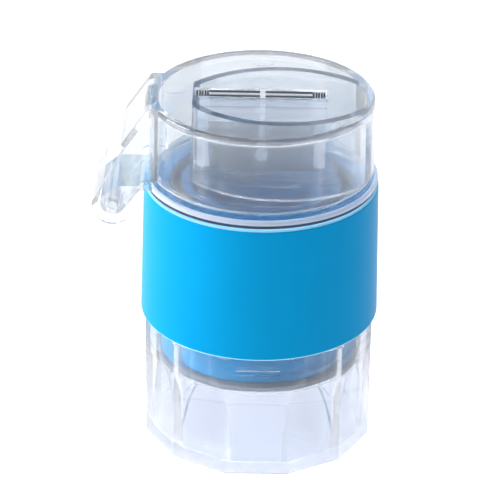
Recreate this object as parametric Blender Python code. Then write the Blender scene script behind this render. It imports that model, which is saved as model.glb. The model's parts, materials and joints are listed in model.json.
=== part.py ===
"""Pill crusher with a pill cutter under a hinged clear lid, a threaded crushing bowl in a
coloured grip ring, and a clear screw-on storage cup at the bottom.

Units are metres, +Z is up, and the origin is the centre of the cup's flat bottom.
The lid's hinge lies on the -X side, along Y, and the blade lies in the XZ plane.
The cup stands still. The ring and the bowl screw off it, the cutter head screws out of the
bowl, and the lid swings up on its hinge.
"""

import math

import bmesh
import bpy
from mathutils import Matrix, Vector

MM = 0.001
ROUND = 48                # sides of a turned piece
FACETS = 12               # grip facets around the storage cup
FIT = 0.3 * MM            # gap between neighbouring pieces
OVER = 1.0 * MM           # how far a cutter runs past the face it cuts

# Heights of the stack, from the table up
CUP_FLOOR_Z = 1.3 * MM
CUP_LEDGE_Z = 19.0 * MM
SEAL_TOP_Z = 20.6 * MM
NECK_BOTTOM_Z = 20.9 * MM
CUP_TOP_Z = 28.2 * MM
RING_BOTTOM_Z = 28.55 * MM
RING_TOP_Z = 58.7 * MM
FLANGE_BOTTOM_Z = 59.1 * MM
FLANGE_TOP_Z = 60.8 * MM
LAND_TOP_Z = 61.7 * MM
LID_BOTTOM_Z = 62.0 * MM
LID_TOP_Z = 78.7 * MM

# Storage cup
CUP_CORNER_R = 25.3 * MM
CUP_BORE_R = 22.0 * MM
CUP_FLAT_TOP_R = 21.5 * MM    # distance of the inner flats from the axis at the ledge
CUP_FLAT_LOW_R = 20.4 * MM    # and at the cup's floor

# Grip ring and crushing bowl
RING_TOP_R = 25.0 * MM
RING_BOTTOM_R = 25.7 * MM
RING_BORE_R = 23.3 * MM
RING_LIP_Z = 30.2 * MM
NECK_R = 20.6 * MM
BOWL_R = 23.0 * MM
BOWL_BORE_R = 19.4 * MM
BOWL_FLOOR_Z = 41.0 * MM
BOWL_FLOOR_T = 2.4 * MM
BOWL_TOP_Z = 58.3 * MM

# Cutter seat
FLANGE_R = 24.8 * MM
LAND_R = 23.8 * MM
SEAT_POCKET_R = 22.9 * MM
SEAT_FLOOR_Z = 60.3 * MM
SKIRT_R = 19.0 * MM
SKIRT_BORE_R = 17.4 * MM
SKIRT_BOTTOM_Z = 51.5 * MM

# Crushing plunger
PLUNGER_R = 16.9 * MM
PLUNGER_FOOT_R = 19.0 * MM
PLUNGER_FACE_Z = 42.4 * MM
PLUNGER_TOP_Z = 58.2 * MM
TEETH = 8
TOOTH_H = 1.0 * MM

# Lid
LID_R = 23.9 * MM
LID_TOP_R = 23.65 * MM
LID_WALL = 1.5 * MM
LID_DISC = 1.8 * MM
LID_EDGE = 0.8 * MM           # rounded top edge
GUARD_BOTTOM_Z = 60.9 * MM
GUARD_WALL = 1.8 * MM
GUARD_END_WALL = 1.2 * MM
GUARD_LEFT_X = -14.1 * MM
GUARD_LEFT_Y = 5.6 * MM       # half width of the guard at its closed end
GUARD_MIDDLE_Y = 13.9 * MM    # half width of the guard at the blade's centre
GUARD_RIGHT_X = 22.3 * MM     # here the guard runs into the drum
GUARD_RIGHT_Y = 5.2 * MM
GUARD_STEPS = 14

# Hinge
HINGE_X = -31.2 * MM
HINGE_Z = 56.5 * MM
ARM_HALF_Y = 9.75 * MM
CHEEK = 1.5 * MM
LOBE_R = 4.4 * MM
KNUCKLE_R = 2.7 * MM
PIN_R = 1.2 * MM

# Blade and its holder
BLADE_X = 12.3 * MM           # half length
BLADE_T = 0.35 * MM
BLADE_TOP_Z = 71.2 * MM
BLADE_EDGE_Z = 61.3 * MM
BEVEL_H = 1.2 * MM
SLOT_LEFT_X = -14.3 * MM
SLOT_RIGHT_X = 13.5 * MM
SLOT_Y = 2.2 * MM
WEB_T = 0.9 * MM
STAKE_X = 2.8 * MM            # length of the holder's broad ends in the slot
BRIDGE_X = 1.3 * MM           # half length of its bridge at the middle
POST_Y = 1.2 * MM
POST_OUT_X = 13.2 * MM
POST_IN_X = 10.9 * MM
POST_BOTTOM_Z = 62.6 * MM
PEG_BOTTOM_Z = 65.4 * MM


def clear_scene():
    for item in list(bpy.data.objects):
        bpy.data.objects.remove(item, do_unlink=True)


def material(name, colour, roughness, metallic=0.0, alpha=1.0):
    paint = bpy.data.materials.new(name)
    paint.use_nodes = True
    shader = paint.node_tree.nodes["Principled BSDF"]
    shader.inputs["Base Color"].default_value = (*colour, 1.0)
    shader.inputs["Roughness"].default_value = roughness
    shader.inputs["Metallic"].default_value = metallic
    shader.inputs["Alpha"].default_value = alpha
    paint.diffuse_color = (*colour, alpha)
    return paint


def finish(name, bm, paint, sharp_degrees=30.0):
    """Turn a bmesh into a named object with outward faces and smooth round sides."""
    bmesh.ops.recalc_face_normals(bm, faces=bm.faces)
    mesh = bpy.data.meshes.new(name)
    bm.to_mesh(mesh)
    bm.free()
    mesh.shade_smooth()
    mesh.set_sharp_from_angle(angle=math.radians(sharp_degrees))
    piece = bpy.data.objects.new(name, mesh)
    if paint:
        mesh.materials.append(paint)
    bpy.context.collection.objects.link(piece)
    return piece


def turned(name, outline, paint=None, sides=ROUND, start=0.0, sharp_degrees=30.0):
    """Solid of revolution about Z from a closed outline of (radius, height) points."""
    bm = bmesh.new()
    verts = [bm.verts.new((r * math.cos(start), r * math.sin(start), z)) for r, z in outline]
    edges = [bm.edges.new((a, b)) for a, b in zip(verts, verts[1:] + verts[:1])]
    bmesh.ops.spin(bm, geom=verts + edges, cent=(0, 0, 0), axis=(0, 0, 1),
                   angle=2 * math.pi, steps=sides, use_merge=True)
    bmesh.ops.remove_doubles(bm, verts=bm.verts, dist=1e-7)
    return finish(name, bm, paint, sharp_degrees)


def extruded(name, outline, along, paint=None):
    """Solid from a flat outline of points, swept by the vector along."""
    bm = bmesh.new()
    face = bm.faces.new([bm.verts.new(point) for point in outline])
    swept = bmesh.ops.extrude_face_region(bm, geom=[face])
    moved = [item for item in swept["geom"] if isinstance(item, bmesh.types.BMVert)]
    bmesh.ops.translate(bm, verts=moved, vec=along)
    return finish(name, bm, paint)


def block(name, low, high, paint=None):
    """Box between two corners."""
    bm = bmesh.new()
    bmesh.ops.create_cube(bm, size=1.0)
    size = Vector(high) - Vector(low)
    centre = (Vector(high) + Vector(low)) / 2
    bmesh.ops.transform(bm, matrix=Matrix.LocRotScale(centre, None, size), verts=bm.verts)
    return finish(name, bm, paint)


def across(name, radius, low_y, high_y, paint=None, x=HINGE_X, z=HINGE_Z, sides=24):
    """Cylinder along Y, on the hinge axis unless x and z say otherwise."""
    outline = [(x + radius * math.cos(2 * math.pi * i / sides), low_y,
                z + radius * math.sin(2 * math.pi * i / sides)) for i in range(sides)]
    return extruded(name, outline, (0, high_y - low_y, 0), paint)


def combine(piece, tool, operation):
    """Boolean that keeps the tool as a hidden guide."""
    step = piece.modifiers.new(f"{operation.lower()} {tool.name}", "BOOLEAN")
    step.operation = operation
    step.solver = "EXACT"
    step.object = tool
    tool.hide_render = True
    tool.display_type = "WIRE"
    return piece


def join(piece, *tools):
    for tool in tools:
        combine(piece, tool, "UNION")
    return piece


def cut(piece, *tools):
    for tool in tools:
        combine(piece, tool, "DIFFERENCE")
    return piece


def arc(centre, radius, start_degrees, end_degrees, steps):
    """Points of an arc, both ends included."""
    turn = [math.radians(start_degrees + (end_degrees - start_degrees) * i / steps)
            for i in range(steps + 1)]
    return [(centre[0] + radius * math.cos(t), centre[1] + radius * math.sin(t)) for t in turn]


# Storage cup -----------------------------------------------------------------------------

def storage_cup(paint):
    """Clear cup with flat grip facets outside. Inside, a round bore meets tapered flats."""
    chamfer = 0.3 * MM
    start = math.pi / FACETS
    cup = turned("base_cup", [
        (0, CUP_TOP_Z), (CUP_CORNER_R, CUP_TOP_Z), (CUP_CORNER_R, chamfer),
        (CUP_CORNER_R - chamfer, 0), (0, 0),
    ], paint, sides=FACETS, start=start, sharp_degrees=15.0)
    to_corner = 1 / math.cos(math.pi / FACETS)
    flats = turned("cup_flats_guide", [
        (0, CUP_LEDGE_Z + OVER), (CUP_FLAT_TOP_R * to_corner, CUP_LEDGE_Z + OVER),
        (CUP_FLAT_LOW_R * to_corner, CUP_FLOOR_Z), (0, CUP_FLOOR_Z),
    ], sides=FACETS, start=start)
    round_limit = turned("cup_round_guide", [
        (0, CUP_LEDGE_Z + 2 * OVER), (CUP_BORE_R - 0.5 * MM, CUP_LEDGE_Z + 2 * OVER),
        (CUP_BORE_R - 0.5 * MM, 0), (0, 0),
    ])
    combine(flats, round_limit, "INTERSECT")
    bore = turned("cup_bore_guide", [
        (0, CUP_TOP_Z + OVER), (CUP_BORE_R, CUP_TOP_Z + OVER),
        (CUP_BORE_R, CUP_LEDGE_Z), (0, CUP_LEDGE_Z),
    ])
    return cut(cup, flats, bore)


def neck_seal(paint):
    """Soft ring that lies on the cup's ledge under the neck."""
    inner, outer = 19.4 * MM, CUP_BORE_R - FIT
    bottom, edge = CUP_LEDGE_Z + FIT, 0.3 * MM
    return turned("neck_seal", [
        (outer - edge, SEAL_TOP_Z), (outer, SEAL_TOP_Z - edge), (outer, bottom + edge),
        (outer - edge, bottom), (inner, bottom), (inner, SEAL_TOP_Z),
    ], paint)


# Grip ring and crushing bowl ---------------------------------------------------------------

def grip_ring(paint):
    """Coloured sleeve, a little wider at the bottom, with a lip that carries the bowl."""
    edge, lip_bore = 0.5 * MM, NECK_R + 0.4 * MM
    return turned("grip_ring", [
        (RING_TOP_R - edge, RING_TOP_Z), (RING_TOP_R, RING_TOP_Z - edge),
        (RING_BOTTOM_R, RING_BOTTOM_Z + edge), (RING_BOTTOM_R - edge, RING_BOTTOM_Z),
        (lip_bore, RING_BOTTOM_Z), (lip_bore, RING_LIP_Z),
        (RING_BORE_R, RING_LIP_Z), (RING_BORE_R, RING_TOP_Z),
    ], paint)


def crushing_bowl(paint):
    """Bowl with a dished crushing floor. Its lower end is the neck that closes the cup."""
    dish = 1.0 * MM
    neck_bore = 18.9 * MM
    ceiling = BOWL_FLOOR_Z - BOWL_FLOOR_T
    shoulder = RING_LIP_Z + FIT
    return turned("crushing_bowl", [
        (0, BOWL_FLOOR_Z), (BOWL_BORE_R - 2 * dish, BOWL_FLOOR_Z),
        (BOWL_BORE_R, BOWL_FLOOR_Z + dish), (BOWL_BORE_R, BOWL_TOP_Z),
        (BOWL_R, BOWL_TOP_Z), (BOWL_R, shoulder), (NECK_R, shoulder),
        (NECK_R, NECK_BOTTOM_Z), (neck_bore, NECK_BOTTOM_Z), (neck_bore, ceiling), (0, ceiling),
    ], paint)


def crusher_plunger(paint):
    """Hollow plunger that turns freely inside the seat's skirt. Radial teeth break the pill."""
    wall, face_t, chamfer = 1.8 * MM, 2.2 * MM, 1.6 * MM
    inside = PLUNGER_FACE_Z + face_t
    foot_top = SKIRT_BOTTOM_Z - 1.5 * MM
    plunger = turned("crusher_plunger", [
        (0, inside), (PLUNGER_R - wall, inside),
        (PLUNGER_R - wall, PLUNGER_TOP_Z), (PLUNGER_R, PLUNGER_TOP_Z), (PLUNGER_R, foot_top),
        (PLUNGER_FOOT_R, foot_top - chamfer), (PLUNGER_FOOT_R, PLUNGER_FACE_Z + chamfer),
        (PLUNGER_FOOT_R - chamfer, PLUNGER_FACE_Z), (0, PLUNGER_FACE_Z),
    ], paint)
    tooth_in, tooth_out, half = 3.0 * MM, 16.0 * MM, 0.6 * MM
    for i in range(TEETH):
        tooth = extruded(f"tooth_guide_{i + 1}", [
            (tooth_in, -half * 1.6, PLUNGER_FACE_Z + half), (tooth_in, 0, PLUNGER_FACE_Z - TOOTH_H),
            (tooth_in, half * 1.6, PLUNGER_FACE_Z + half),
        ], (tooth_out - tooth_in, 0, 0))
        tooth.data.transform(Matrix.Rotation(2 * math.pi * i / TEETH, 4, "Z"))
        join(plunger, tooth)
    return plunger


# Cutter seat and hinge ---------------------------------------------------------------------

def pill_seat(paint):
    """Clear seat: flange, land for the lid, floor, skirt in the bowl, anvil and hinge ear."""
    edge = 0.3 * MM
    floor_bottom = SEAT_FLOOR_Z - 1.5 * MM
    rib_half_y = 0.9 * MM
    seat = turned("pill_seat", [
        (0, SEAT_FLOOR_Z), (SEAT_POCKET_R, SEAT_FLOOR_Z), (SEAT_POCKET_R, LAND_TOP_Z),
        (LAND_R, LAND_TOP_Z), (LAND_R, FLANGE_TOP_Z), (FLANGE_R - edge, FLANGE_TOP_Z),
        (FLANGE_R, FLANGE_TOP_Z - edge), (FLANGE_R, FLANGE_BOTTOM_Z),
        (SKIRT_R + 2.0 * MM, FLANGE_BOTTOM_Z), (SKIRT_R, floor_bottom - edge),
        (SKIRT_R, SKIRT_BOTTOM_Z),
        (SKIRT_BORE_R, SKIRT_BOTTOM_Z), (SKIRT_BORE_R, floor_bottom), (0, floor_bottom),
    ], paint)
    ear_half_y = ARM_HALF_Y - CHEEK - FIT - 0.1 * MM
    knuckle = arc((HINGE_X, HINGE_Z), KNUCKLE_R, 150, 330, 12)
    flange_in = -(FLANGE_R - 2.0 * MM)
    under = -(RING_TOP_R + 0.6 * MM)
    ear_outline = [(flange_in, FLANGE_TOP_Z - edge), (HINGE_X + 1.0 * MM, FLANGE_TOP_Z - edge),
                   *knuckle, (under, FLANGE_BOTTOM_Z + 0.1 * MM),
                   (flange_in, FLANGE_BOTTOM_Z + 0.1 * MM)]
    ear = extruded("ear_guide", [(x, -ear_half_y, z) for x, z in ear_outline],
                   (0, 2 * ear_half_y, 0))
    anvil = block("anvil_guide", (-BLADE_X, -rib_half_y, SEAT_FLOOR_Z - edge),
                  (BLADE_X, rib_half_y, SEAT_FLOOR_Z + edge))
    bore = across("ear_bore_guide", PIN_R + FIT, -ARM_HALF_Y, ARM_HALF_Y)
    return cut(join(seat, ear, anvil), bore)


def hinge_pin(paint):
    """Plain moulded pin through both cheeks and the ear."""
    half = ARM_HALF_Y - 0.2 * MM
    return across("hinge_pin", PIN_R, -half, half, paint, sides=20)


# Lid ---------------------------------------------------------------------------------------

def guard_outline():
    """Centre line of the rear guard wall, an arc through its two ends and its widest point."""
    ends = [Vector((GUARD_LEFT_X, GUARD_LEFT_Y)), Vector((0, GUARD_MIDDLE_Y)),
            Vector((GUARD_RIGHT_X, GUARD_RIGHT_Y))]
    a, b, c = ends
    twice = 2 * (a.x * (b.y - c.y) + b.x * (c.y - a.y) + c.x * (a.y - b.y))
    centre = Vector((
        (a.length_squared * (b.y - c.y) + b.length_squared * (c.y - a.y)
         + c.length_squared * (a.y - b.y)) / twice,
        (a.length_squared * (c.x - b.x) + b.length_squared * (a.x - c.x)
         + c.length_squared * (b.x - a.x)) / twice,
    ))
    radius = (a - centre).length
    start = math.degrees(math.atan2(a.y - centre.y, a.x - centre.x))
    end = math.degrees(math.atan2(c.y - centre.y, c.x - centre.x))
    return centre, radius, start, end


def guard_wall(side):
    """One curved guard wall: side is 1 for the rear one and -1 for the front one.
    It joins the drum at the right, and below the drum it stays clear of the seat's land."""
    centre, radius, start, end = guard_outline()
    half = GUARD_WALL / 2
    outer = arc(centre, radius + half, start, end, GUARD_STEPS)
    inner = arc(centre, radius - half, end, start, GUARD_STEPS)
    outline = [(x, side * y, GUARD_BOTTOM_Z) for x, y in outer + inner]
    top = LID_TOP_Z - LID_DISC / 2
    name = "rear" if side > 0 else "front"
    wall = extruded(f"guard_{name}_guide", outline, (0, 0, top - GUARD_BOTTOM_Z))
    clear_r, bottom = SEAT_POCKET_R - FIT, GUARD_BOTTOM_Z - OVER
    relief = turned(f"guard_{name}_relief_guide", [
        (clear_r, bottom), (LID_R + OVER, bottom), (LID_R + OVER, LID_BOTTOM_Z),
        (clear_r, LID_BOTTOM_Z),
    ])
    return cut(wall, relief)


def arm_solid():
    """Outside of the hollow hinge arm, from the lid's top plane down to the round lobe."""
    inner_x = -20.8 * MM
    top = LID_TOP_Z - 0.05 * MM
    corner = arc((-23.2 * MM, top - 1.6 * MM), 1.6 * MM, 90, 145, 4)
    outline = [(inner_x, top), *corner, (-34.1 * MM, 63.8 * MM),
               *arc((HINGE_X, HINGE_Z), LOBE_R, 170, 375, 16),
               (-25.5 * MM, LID_BOTTOM_Z - 0.4 * MM), (-24.6 * MM, LID_BOTTOM_Z + 0.2 * MM),
               (inner_x, LID_BOTTOM_Z + 0.2 * MM)]
    return extruded("arm_guide", [(x, -ARM_HALF_Y, z) for x, z in outline],
                    (0, 2 * ARM_HALF_Y, 0))


def arm_hollow():
    """Space between the arm's cheeks, open below for the seat's ear."""
    half = ARM_HALF_Y - CHEEK
    outline = [(-22.4 * MM, 76.6 * MM), (-23.6 * MM, 76.4 * MM), (-32.6 * MM, 63.4 * MM),
               (-34.3 * MM, 57.0 * MM), (-36.5 * MM, 55.0 * MM), (-36.5 * MM, 50.0 * MM),
               (-22.4 * MM, 50.0 * MM)]
    return extruded("arm_hollow_guide", [(x, -half, z) for x, z in outline], (0, 2 * half, 0))


def lid_shell(paint):
    """Clear lid: drum, disc with a slot for the blade holder, guard walls and hinge arm."""
    lid = turned("lid_shell", [
        (0, LID_TOP_Z), (LID_TOP_R - LID_EDGE, LID_TOP_Z),
        (LID_TOP_R - 0.3 * LID_EDGE, LID_TOP_Z - 0.3 * LID_EDGE),
        (LID_TOP_R, LID_TOP_Z - LID_EDGE), (LID_R, LID_BOTTOM_Z), (0, LID_BOTTOM_Z),
    ], paint)
    cavity_top = LID_TOP_Z - LID_DISC
    cavity = turned("lid_cavity_guide", [
        (0, cavity_top), (LID_TOP_R - LID_WALL, cavity_top),
        (LID_R - LID_WALL, LID_BOTTOM_Z - OVER), (0, LID_BOTTOM_Z - OVER),
    ])
    arm = cut(arm_solid(), arm_hollow())
    end_half = GUARD_END_WALL / 2
    end_wall = block("guard_end_guide",
                     (GUARD_LEFT_X - end_half, -GUARD_LEFT_Y, GUARD_BOTTOM_Z),
                     (GUARD_LEFT_X + end_half, GUARD_LEFT_Y, LID_TOP_Z - LID_DISC / 2))
    slot = block("slot_guide", (SLOT_LEFT_X, -SLOT_Y, cavity_top - FIT),
                 (SLOT_RIGHT_X, SLOT_Y, LID_TOP_Z + OVER))
    bore = across("lid_bore_guide", PIN_R + FIT, -ARM_HALF_Y - OVER, ARM_HALF_Y + OVER)
    join(lid, arm)
    cut(lid, cavity)
    join(lid, guard_wall(1), guard_wall(-1), end_wall)
    cut(lid, slot, bore)
    return lid


def blade(paint):
    """Thin steel blade with a ground edge at the bottom."""
    half = BLADE_T / 2
    outline = [(-half, BLADE_TOP_Z), (half, BLADE_TOP_Z), (half, BLADE_EDGE_Z + BEVEL_H),
               (0.02 * MM, BLADE_EDGE_Z), (-0.02 * MM, BLADE_EDGE_Z),
               (-half, BLADE_EDGE_Z + BEVEL_H)]
    return extruded("blade", [(-BLADE_X, y, z) for y, z in outline], (2 * BLADE_X, 0, 0), paint)


def blade_holder(paint):
    """Clear holder in the lid's slot: web, two grooved end posts and a centre peg."""
    top = LID_TOP_Z - 0.2 * MM
    disc_bottom = LID_TOP_Z - LID_DISC
    slot_y, half_web = SLOT_Y - FIT, WEB_T / 2
    groove = BLADE_T / 2 + FIT
    peg_half_x, tip_r = 0.6 * MM, 1.3 * MM
    left, right = SLOT_LEFT_X + FIT, SLOT_RIGHT_X - FIT

    holder = block("blade_holder", (-POST_IN_X - OVER, -half_web, BLADE_TOP_Z),
                   (POST_IN_X + OVER, half_web, top - 0.4 * MM), paint)
    in_slot = {"left_stake": (left, left + STAKE_X), "bridge": (-BRIDGE_X, BRIDGE_X),
               "right_stake": (right - STAKE_X, right)}
    for name, (low_x, high_x) in in_slot.items():
        join(holder, block(f"{name}_guide", (low_x, -slot_y, disc_bottom + 0.1 * MM),
                           (high_x, slot_y, top)))
    posts = {"left_post": (-POST_OUT_X, -POST_IN_X), "right_post": (POST_IN_X, POST_OUT_X)}
    for name, (low_x, high_x) in posts.items():
        join(holder, block(f"{name}_guide", (low_x, -POST_Y, POST_BOTTOM_Z),
                           (high_x, POST_Y, disc_bottom + 0.5 * MM)))
    peg = block("peg_guide", (-peg_half_x, -POST_Y, PEG_BOTTOM_Z),
                (peg_half_x, -groove, disc_bottom + 0.5 * MM))
    tip = across("peg_tip_guide", tip_r, -POST_Y, -groove, x=0.0, z=PEG_BOTTOM_Z, sides=16)
    slit = block("groove_guide", (-BLADE_X - FIT, -groove, POST_BOTTOM_Z - OVER),
                 (BLADE_X + FIT, groove, BLADE_TOP_Z + FIT))
    return cut(join(holder, peg, tip), slit)


def build():
    clear_scene()
    clear = material("clear_polystyrene", (0.93, 0.95, 0.97), 0.05, alpha=0.35)
    blue = material("blue_polypropylene", (0.0, 0.30, 0.60), 0.35)
    steel = material("blade_steel", (0.62, 0.62, 0.60), 0.25, metallic=1.0)
    rubber = material("grey_silicone", (0.42, 0.46, 0.48), 0.6)

    storage_cup(clear)
    neck_seal(rubber)
    grip_ring(blue)
    crushing_bowl(blue)
    crusher_plunger(blue)
    pill_seat(clear)
    hinge_pin(clear)
    pivot = bpy.data.objects.new("lid_hinge_axis", None)
    pivot.location = (HINGE_X, 0, HINGE_Z)
    bpy.context.collection.objects.link(pivot)
    bpy.context.view_layer.update()
    for piece in (lid_shell(clear), blade(steel), blade_holder(clear)):
        piece.parent = pivot
        piece.matrix_parent_inverse = pivot.matrix_world.inverted()


build()
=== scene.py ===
# %% [markdown]
# # Twist-action pill crusher with a cutter lid
# A small moulded tool in clear polystyrene and sky-blue polypropylene. A storage cup stands at the
# bottom, a blue grip ring turns on it, and a clear cutter head with a steel blade closes the top.
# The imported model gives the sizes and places, and this script gives the surfaces their finish.

# %% Load the frame
import json
import math

import bmesh
import bpy
from mathutils import Matrix, Vector


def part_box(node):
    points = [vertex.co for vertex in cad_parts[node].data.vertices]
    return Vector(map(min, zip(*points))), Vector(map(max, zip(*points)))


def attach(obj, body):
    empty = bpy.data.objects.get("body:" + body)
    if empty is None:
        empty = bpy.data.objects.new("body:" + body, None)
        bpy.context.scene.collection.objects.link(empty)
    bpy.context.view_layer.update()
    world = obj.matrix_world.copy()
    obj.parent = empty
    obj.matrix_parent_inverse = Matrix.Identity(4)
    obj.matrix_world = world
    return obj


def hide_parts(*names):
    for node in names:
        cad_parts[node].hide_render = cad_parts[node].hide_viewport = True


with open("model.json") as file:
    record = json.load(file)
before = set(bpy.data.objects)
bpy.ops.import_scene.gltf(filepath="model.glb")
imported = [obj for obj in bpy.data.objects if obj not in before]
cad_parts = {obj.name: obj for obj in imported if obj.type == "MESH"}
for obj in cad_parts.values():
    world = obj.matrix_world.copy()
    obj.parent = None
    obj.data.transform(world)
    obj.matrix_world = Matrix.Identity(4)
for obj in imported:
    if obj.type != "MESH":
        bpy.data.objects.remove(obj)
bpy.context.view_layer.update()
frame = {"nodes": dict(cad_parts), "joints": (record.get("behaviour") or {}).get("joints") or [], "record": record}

MM = 0.001
print("nodes:", sorted(frame["nodes"]))

# %% [markdown]
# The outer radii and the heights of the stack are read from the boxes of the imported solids, so that a
# finer piece fits where the plain one was. Wall thicknesses and details are written in millimetres
# in the cell that uses them.

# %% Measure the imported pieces
cup_low, cup_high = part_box("base_cup")
ring_low, ring_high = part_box("grip_ring")
bowl_low, bowl_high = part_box("crushing_bowl")
seal_low, seal_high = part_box("neck_seal")
seat_low, seat_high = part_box("pill_seat")
plunger_low, plunger_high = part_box("crusher_plunger")
lid_low, lid_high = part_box("lid_shell")
blade_low, blade_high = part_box("blade")
holder_low, holder_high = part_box("blade_holder")
pin_low, pin_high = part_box("hinge_pin")
hinge = Vector(next(j for j in frame["joints"] if j["name"] == "lid_hinge")["pos_m"])
print("hinge axis at", [round(v / MM, 2) for v in hinge], "mm")

# %% [markdown]
# Colours are picked as sRGB hex values, the way a colour chart shows them. The shader wants linear
# light, so one function turns them over.

# %% Colour and node helpers
def linear(hex_code, alpha=1.0):
    """sRGB hex text such as "33AAFF" as a linear RGBA tuple."""
    values = [int(hex_code[i:i + 2], 16) / 255 for i in (0, 2, 4)]
    return (*[v / 12.92 if v <= 0.04045 else ((v + 0.055) / 1.055) ** 2.4 for v in values], alpha)


def add_node(tree, kind, settings=None, links=None, **values):
    """Add a node, set its properties and its unlinked inputs, and link its other inputs."""
    node = tree.nodes.new(kind)
    for key, value in (settings or {}).items():
        setattr(node, key, value)
    for key, value in values.items():
        node.inputs[key.replace("_", " ")].default_value = value
    for key, source in (links or {}).items():
        tree.links.new(source, node.inputs[key])
    return node


def empty_material(name):
    made = bpy.data.materials.new(name)
    made.use_nodes = True
    made.node_tree.nodes.clear()
    return made, made.node_tree


# %% [markdown]
# ## Clear polystyrene
# The cup, the seat and the lid are injection moulded in clear polystyrene: a brittle, glassy plastic
# that bends light strongly. One way is a plain glass shader, but then the inside stays black, because
# lamps can't shine through it. Here rays from lamps pass straight on with a faint loss. Of the other
# rays, the share `body` refracts and the rest goes straight on. That rest keeps light from getting
# caught inside the thick walls, which would draw black bands. Slow waves stand for the flow of the
# melt.
#
# A lower `glass` mixes in plain diffuse colour for matt or cut faces, and for the dark painted shade
# of gaps. The cup's foot and the corners where its inner flats end get a greyer tint of painted shade,
# because there the wall is seen edge-on.

# %% Clear polystyrene
FACETS = 12
CUP_FLOOR_Z, LEDGE_Z = 1.3 * MM, seal_low.z - 0.3 * MM
FLAT_TOP_R, FLAT_LOW_R = 21.5 * MM, 20.4 * MM
BORE_R = seal_high.x + 0.3 * MM
ROUND_R = BORE_R - 0.5 * MM


def maths(tree, operation, *values):
    """Math node whose inputs are plain numbers or sockets. Gives its output."""
    node = add_node(tree, "ShaderNodeMath", {"operation": operation})
    for i, value in enumerate(values):
        if isinstance(value, (int, float)):
            node.inputs[i].default_value = value
        else:
            tree.links.new(value, node.inputs[i])
    return node.outputs["Value"]


def painted_arch_shade(tree, place, tint):
    """Painted shade: a greyer tint where the corner flats run into the round wall, and round the foot."""
    split = add_node(tree, "ShaderNodeSeparateXYZ", links={"Vector": place})
    x, y, z = split.outputs["X"], split.outputs["Y"], split.outputs["Z"]
    turn = maths(tree, "PINGPONG", maths(tree, "ARCTAN2", y, x), math.pi / FACETS)
    rise = (FLAT_TOP_R - FLAT_LOW_R) / (LEDGE_Z + MM - CUP_FLOOR_Z)
    flat_r = maths(tree, "MULTIPLY_ADD", z, rise, FLAT_LOW_R - CUP_FLOOR_Z * rise)
    meets = maths(tree, "ARCCOSINE", maths(tree, "DIVIDE", flat_r, ROUND_R))
    on_line = maths(tree, "COMPARE", turn, meets, 0.28 * MM / ROUND_R)
    radius = maths(tree, "SQRT", maths(tree, "ADD", maths(tree, "MULTIPLY", x, x),
                                       maths(tree, "MULTIPLY", y, y)))
    inside = maths(tree, "LESS_THAN", radius, ROUND_R + 0.2 * MM)
    below = maths(tree, "LESS_THAN", z, LEDGE_Z)
    corner = maths(tree, "GREATER_THAN",
                   maths(tree, "PINGPONG", maths(tree, "ARCTAN2", y, x), math.pi / 4), math.pi / 6)
    share = maths(tree, "MULTIPLY", maths(tree, "MULTIPLY", on_line, inside),
                  maths(tree, "MULTIPLY", below, corner))
    foot = maths(tree, "MULTIPLY", maths(tree, "COMPARE", z, 0.13 * MM, 0.12 * MM),
                 maths(tree, "GREATER_THAN", radius, BORE_R))
    share = maths(tree, "MAXIMUM", share, foot)
    mix = add_node(tree, "ShaderNodeMix", {"data_type": "RGBA"}, links={"Factor": share})
    mix.inputs[6].default_value = linear(tint)
    # 5F7C8E is the painted shade along the arch lines and round the foot.
    mix.inputs[7].default_value = linear("5F7C8E")
    return mix.outputs[2]


def clear_moulding(name, tint, roughness=0.02, ripple=0.05, ripple_mm=9.0, glass=1.0, body=0.86,
                   arches=False):
    made, tree = empty_material(name)
    place = add_node(tree, "ShaderNodeTexCoord").outputs["Object"]
    waves = add_node(tree, "ShaderNodeTexNoise", links={"Vector": place},
                     Scale=1 / (ripple_mm * MM), Detail=2.0, Roughness=0.4)
    handling = add_node(tree, "ShaderNodeTexNoise", links={"Vector": place},
                        Scale=1 / (2.5 * MM), Detail=4.0, Roughness=0.6)
    haze = add_node(tree, "ShaderNodeMapRange", links={"Value": handling.outputs["Fac"]})
    haze.inputs["To Min"].default_value = roughness * 0.5
    haze.inputs["To Max"].default_value = roughness * 1.8
    relief = add_node(tree, "ShaderNodeBump", links={"Height": waves.outputs["Fac"]},
                      Strength=ripple, Distance=0.25 * MM)
    plastic = add_node(tree, "ShaderNodeBsdfPrincipled",
                       links={"Roughness": haze.outputs["Result"], "Normal": relief.outputs["Normal"]},
                       Base_Color=linear(tint), Transmission_Weight=glass, IOR=POLYSTYRENE_IOR,
                       Specular_IOR_Level=0.25, Alpha=body)
    if arches:
        # The cup's arch lines and foot line are painted shade in its base colour.
        tree.links.new(painted_arch_shade(tree, place, tint), plastic.inputs["Base Color"])
    lamp_light = add_node(tree, "ShaderNodeBsdfTransparent", Color=linear("F2F5FA"))
    path = add_node(tree, "ShaderNodeLightPath")
    mix = add_node(tree, "ShaderNodeMixShader")
    tree.links.new(path.outputs["Is Shadow Ray"], mix.inputs[0])
    tree.links.new(plastic.outputs["BSDF"], mix.inputs[1])
    tree.links.new(lamp_light.outputs["BSDF"], mix.inputs[2])
    add_node(tree, "ShaderNodeOutputMaterial", links={"Surface": mix.outputs["Shader"]})
    return made


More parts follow.
